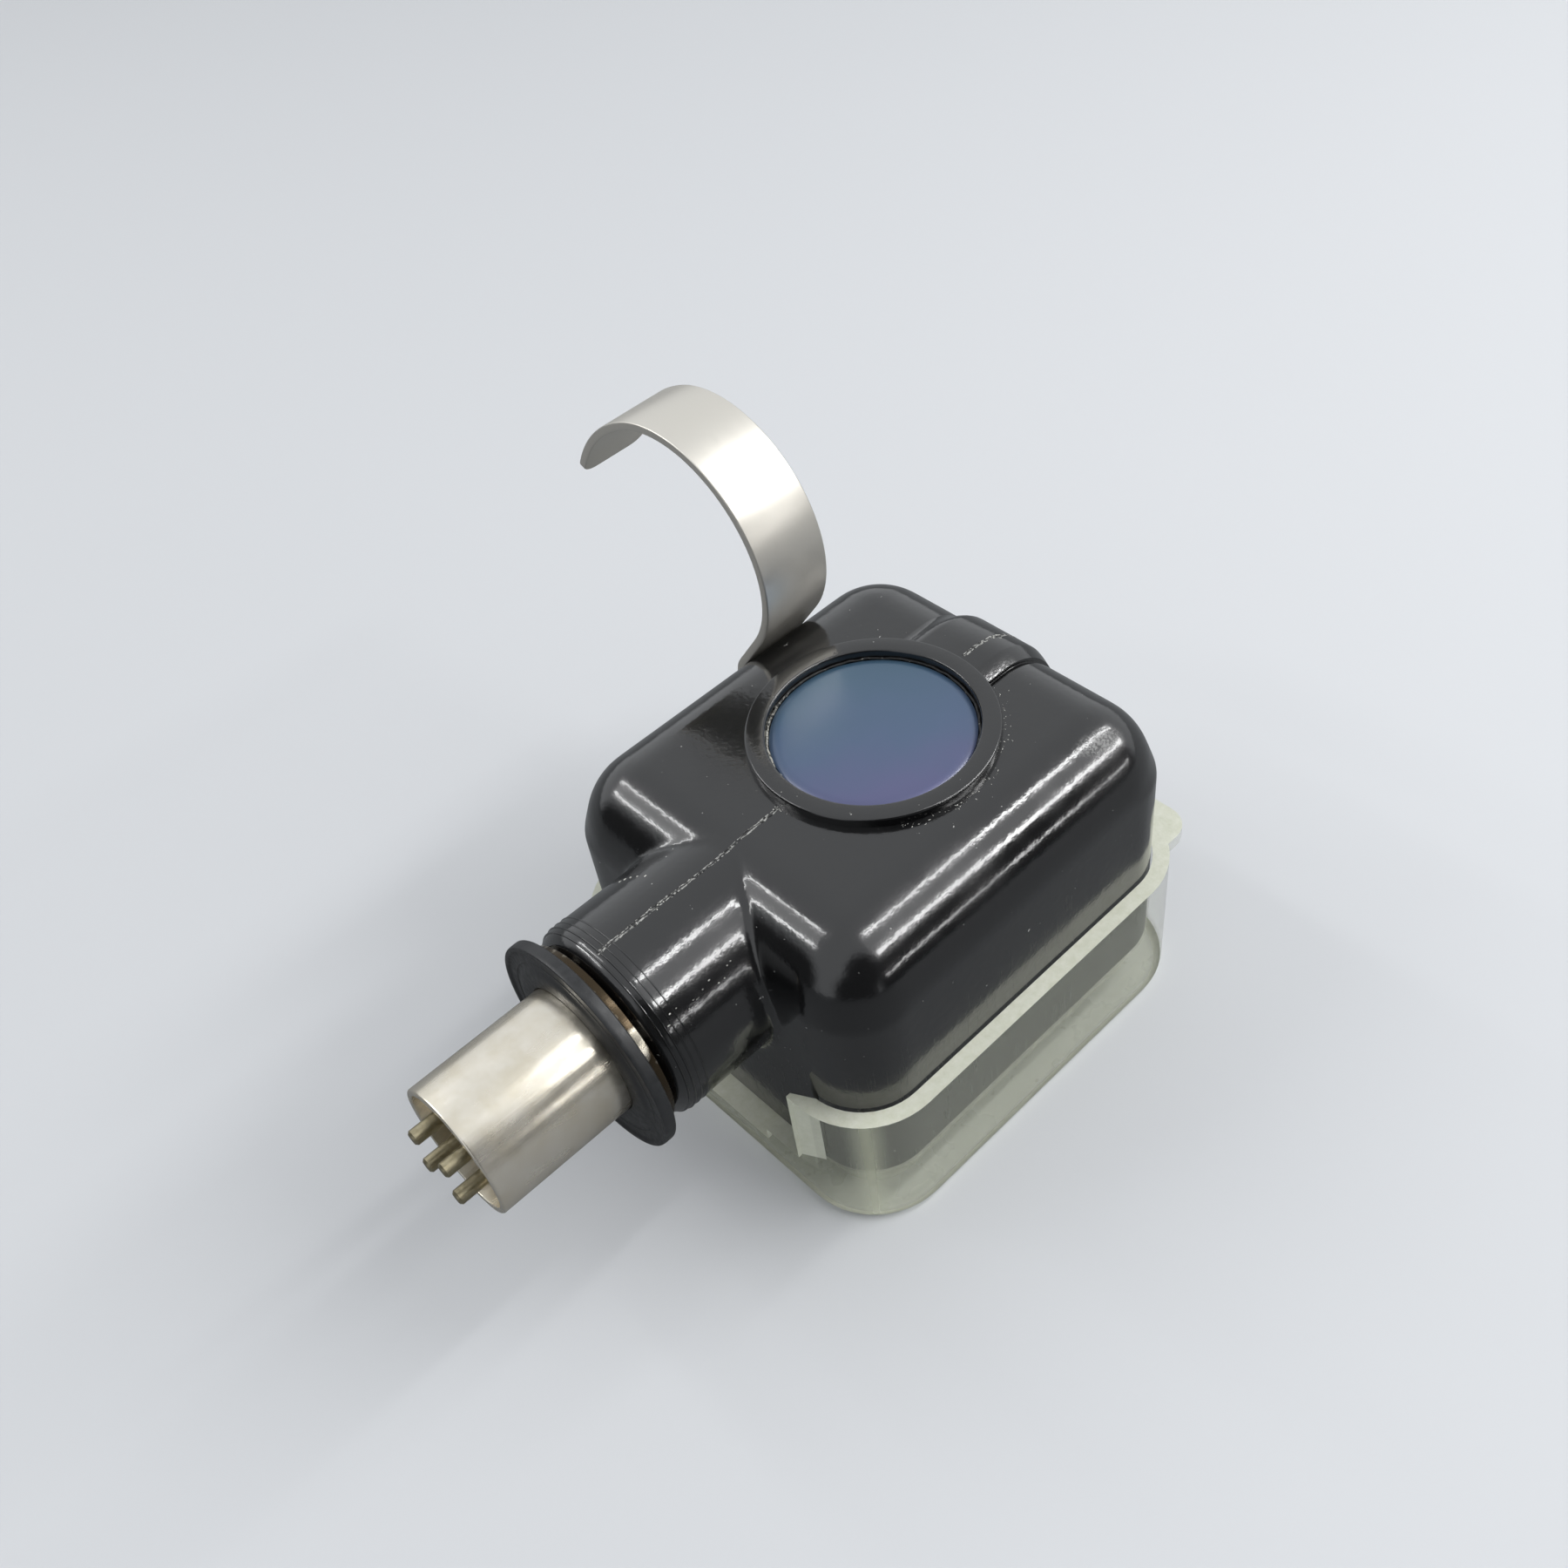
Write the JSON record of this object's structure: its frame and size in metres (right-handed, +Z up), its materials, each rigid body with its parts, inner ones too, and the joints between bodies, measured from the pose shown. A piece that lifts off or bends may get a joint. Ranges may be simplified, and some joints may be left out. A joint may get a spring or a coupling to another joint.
{
  "type": "phono cartridge",
  "caption": "Moving-coil headshell cartridge with a black boxy shell, round neck, bayonet plug, hooked finger lift and clear slide-off stylus guard.",
  "frame": {"origin": "on the bayonet plug's axis, in the plane of the tube's mouth", "axes": "+X from the plug to the cartridge's front, +Y to the finger lift's side, +Z up, away from the record"},
  "size_m": [0.0474, 0.0387, 0.0348],
  "materials": {
    "shell_black": "glossy moulded black phenolic",
    "badge_blue": "satin blue-violet film, bare",
    "lift_steel": "satin brushed nickel",
    "plug_nickel": "worn warm nickel plating",
    "washer_rubber": "matt black rubber",
    "insulator_cream": "plain",
    "contact_nickel": "dull nickel plate",
    "lead_white": "wire sleeve",
    "lead_blue": "wire sleeve",
    "lead_red": "wire sleeve",
    "lead_green": "wire sleeve",
    "strip_brown": "laminated board",
    "terminal_gold": "gold plate",
    "plate_brass": "sawn brass",
    "screw_steel": "nickel plated",
    "magnet_grey": "cast magnet",
    "pole_steel": "soft iron, ground",
    "grub_black": "blackened",
    "damper_rubber": "soft rubber",
    "armature_iron": "lacquered",
    "coil_copper": "enamelled copper wire",
    "cantilever_aluminium": "drawn tube",
    "stylus_diamond": "polished",
    "cover_black": "plain",
    "guard_clear": "clear, slightly yellowed"
  },
  "bodies": {
    "housing": {"shell": "shell_black", "badge_disc": "badge_blue", "finger_lift": "lift_steel", "finger_lift_screw": "screw_steel", "bayonet_tube": "plug_nickel", "locating_pin": "plug_nickel", "rubber_washer": "washer_rubber", "pin_insulator": "insulator_cream", "contact_pin_left_hot": "contact_nickel", "contact_pin_left_return": "contact_nickel", "contact_pin_right_hot": "contact_nickel", "contact_pin_right_return": "contact_nickel", "lead_left_hot": "lead_white", "lead_left_return": "lead_blue", "lead_right_hot": "lead_red", "lead_right_return": "lead_green", "terminal_strip": "strip_brown", "terminal_pins": "terminal_gold", "mounting_plate": "plate_brass", "mounting_screws": "screw_steel", "magnet": "magnet_grey", "rear_yoke": "pole_steel", "front_pole": "pole_steel", "rear_pole": "pole_steel", "clamp_screw": "grub_black", "tie_wire": "screw_steel", "underside_cover": "cover_black", "cover_screws": "screw_steel"},
    "guard": {"stylus_guard": "guard_clear"},
    "damper": {"damper_ring": "damper_rubber"},
    "stylus": {"armature": "armature_iron", "coil_left": "coil_copper", "coil_right": "coil_copper", "cantilever": "cantilever_aluminium", "stylus_tip": "stylus_diamond"}
  },
  "joints": [
    {"name": "guard_pull", "type": "slide", "parent": "housing", "child": "guard", "axis": [0, 0, -1], "range_m": [0, 0.02]},
    {"name": "stylus_lateral", "type": "hinge", "parent": "housing", "child": "damper", "pos_m": [0.03364, 0, -0.01149], "axis": [0.309, 0, 0.9511], "range_deg": [-2, 2], "stiffness_Nm_per_rad": 0.0037},
    {"name": "stylus_vertical", "type": "hinge", "parent": "damper", "child": "stylus", "pos_m": [0.03364, 0, -0.01149], "axis": [0, 1, 0], "range_deg": [-2, 2], "stiffness_Nm_per_rad": 0.0037}
  ]
}
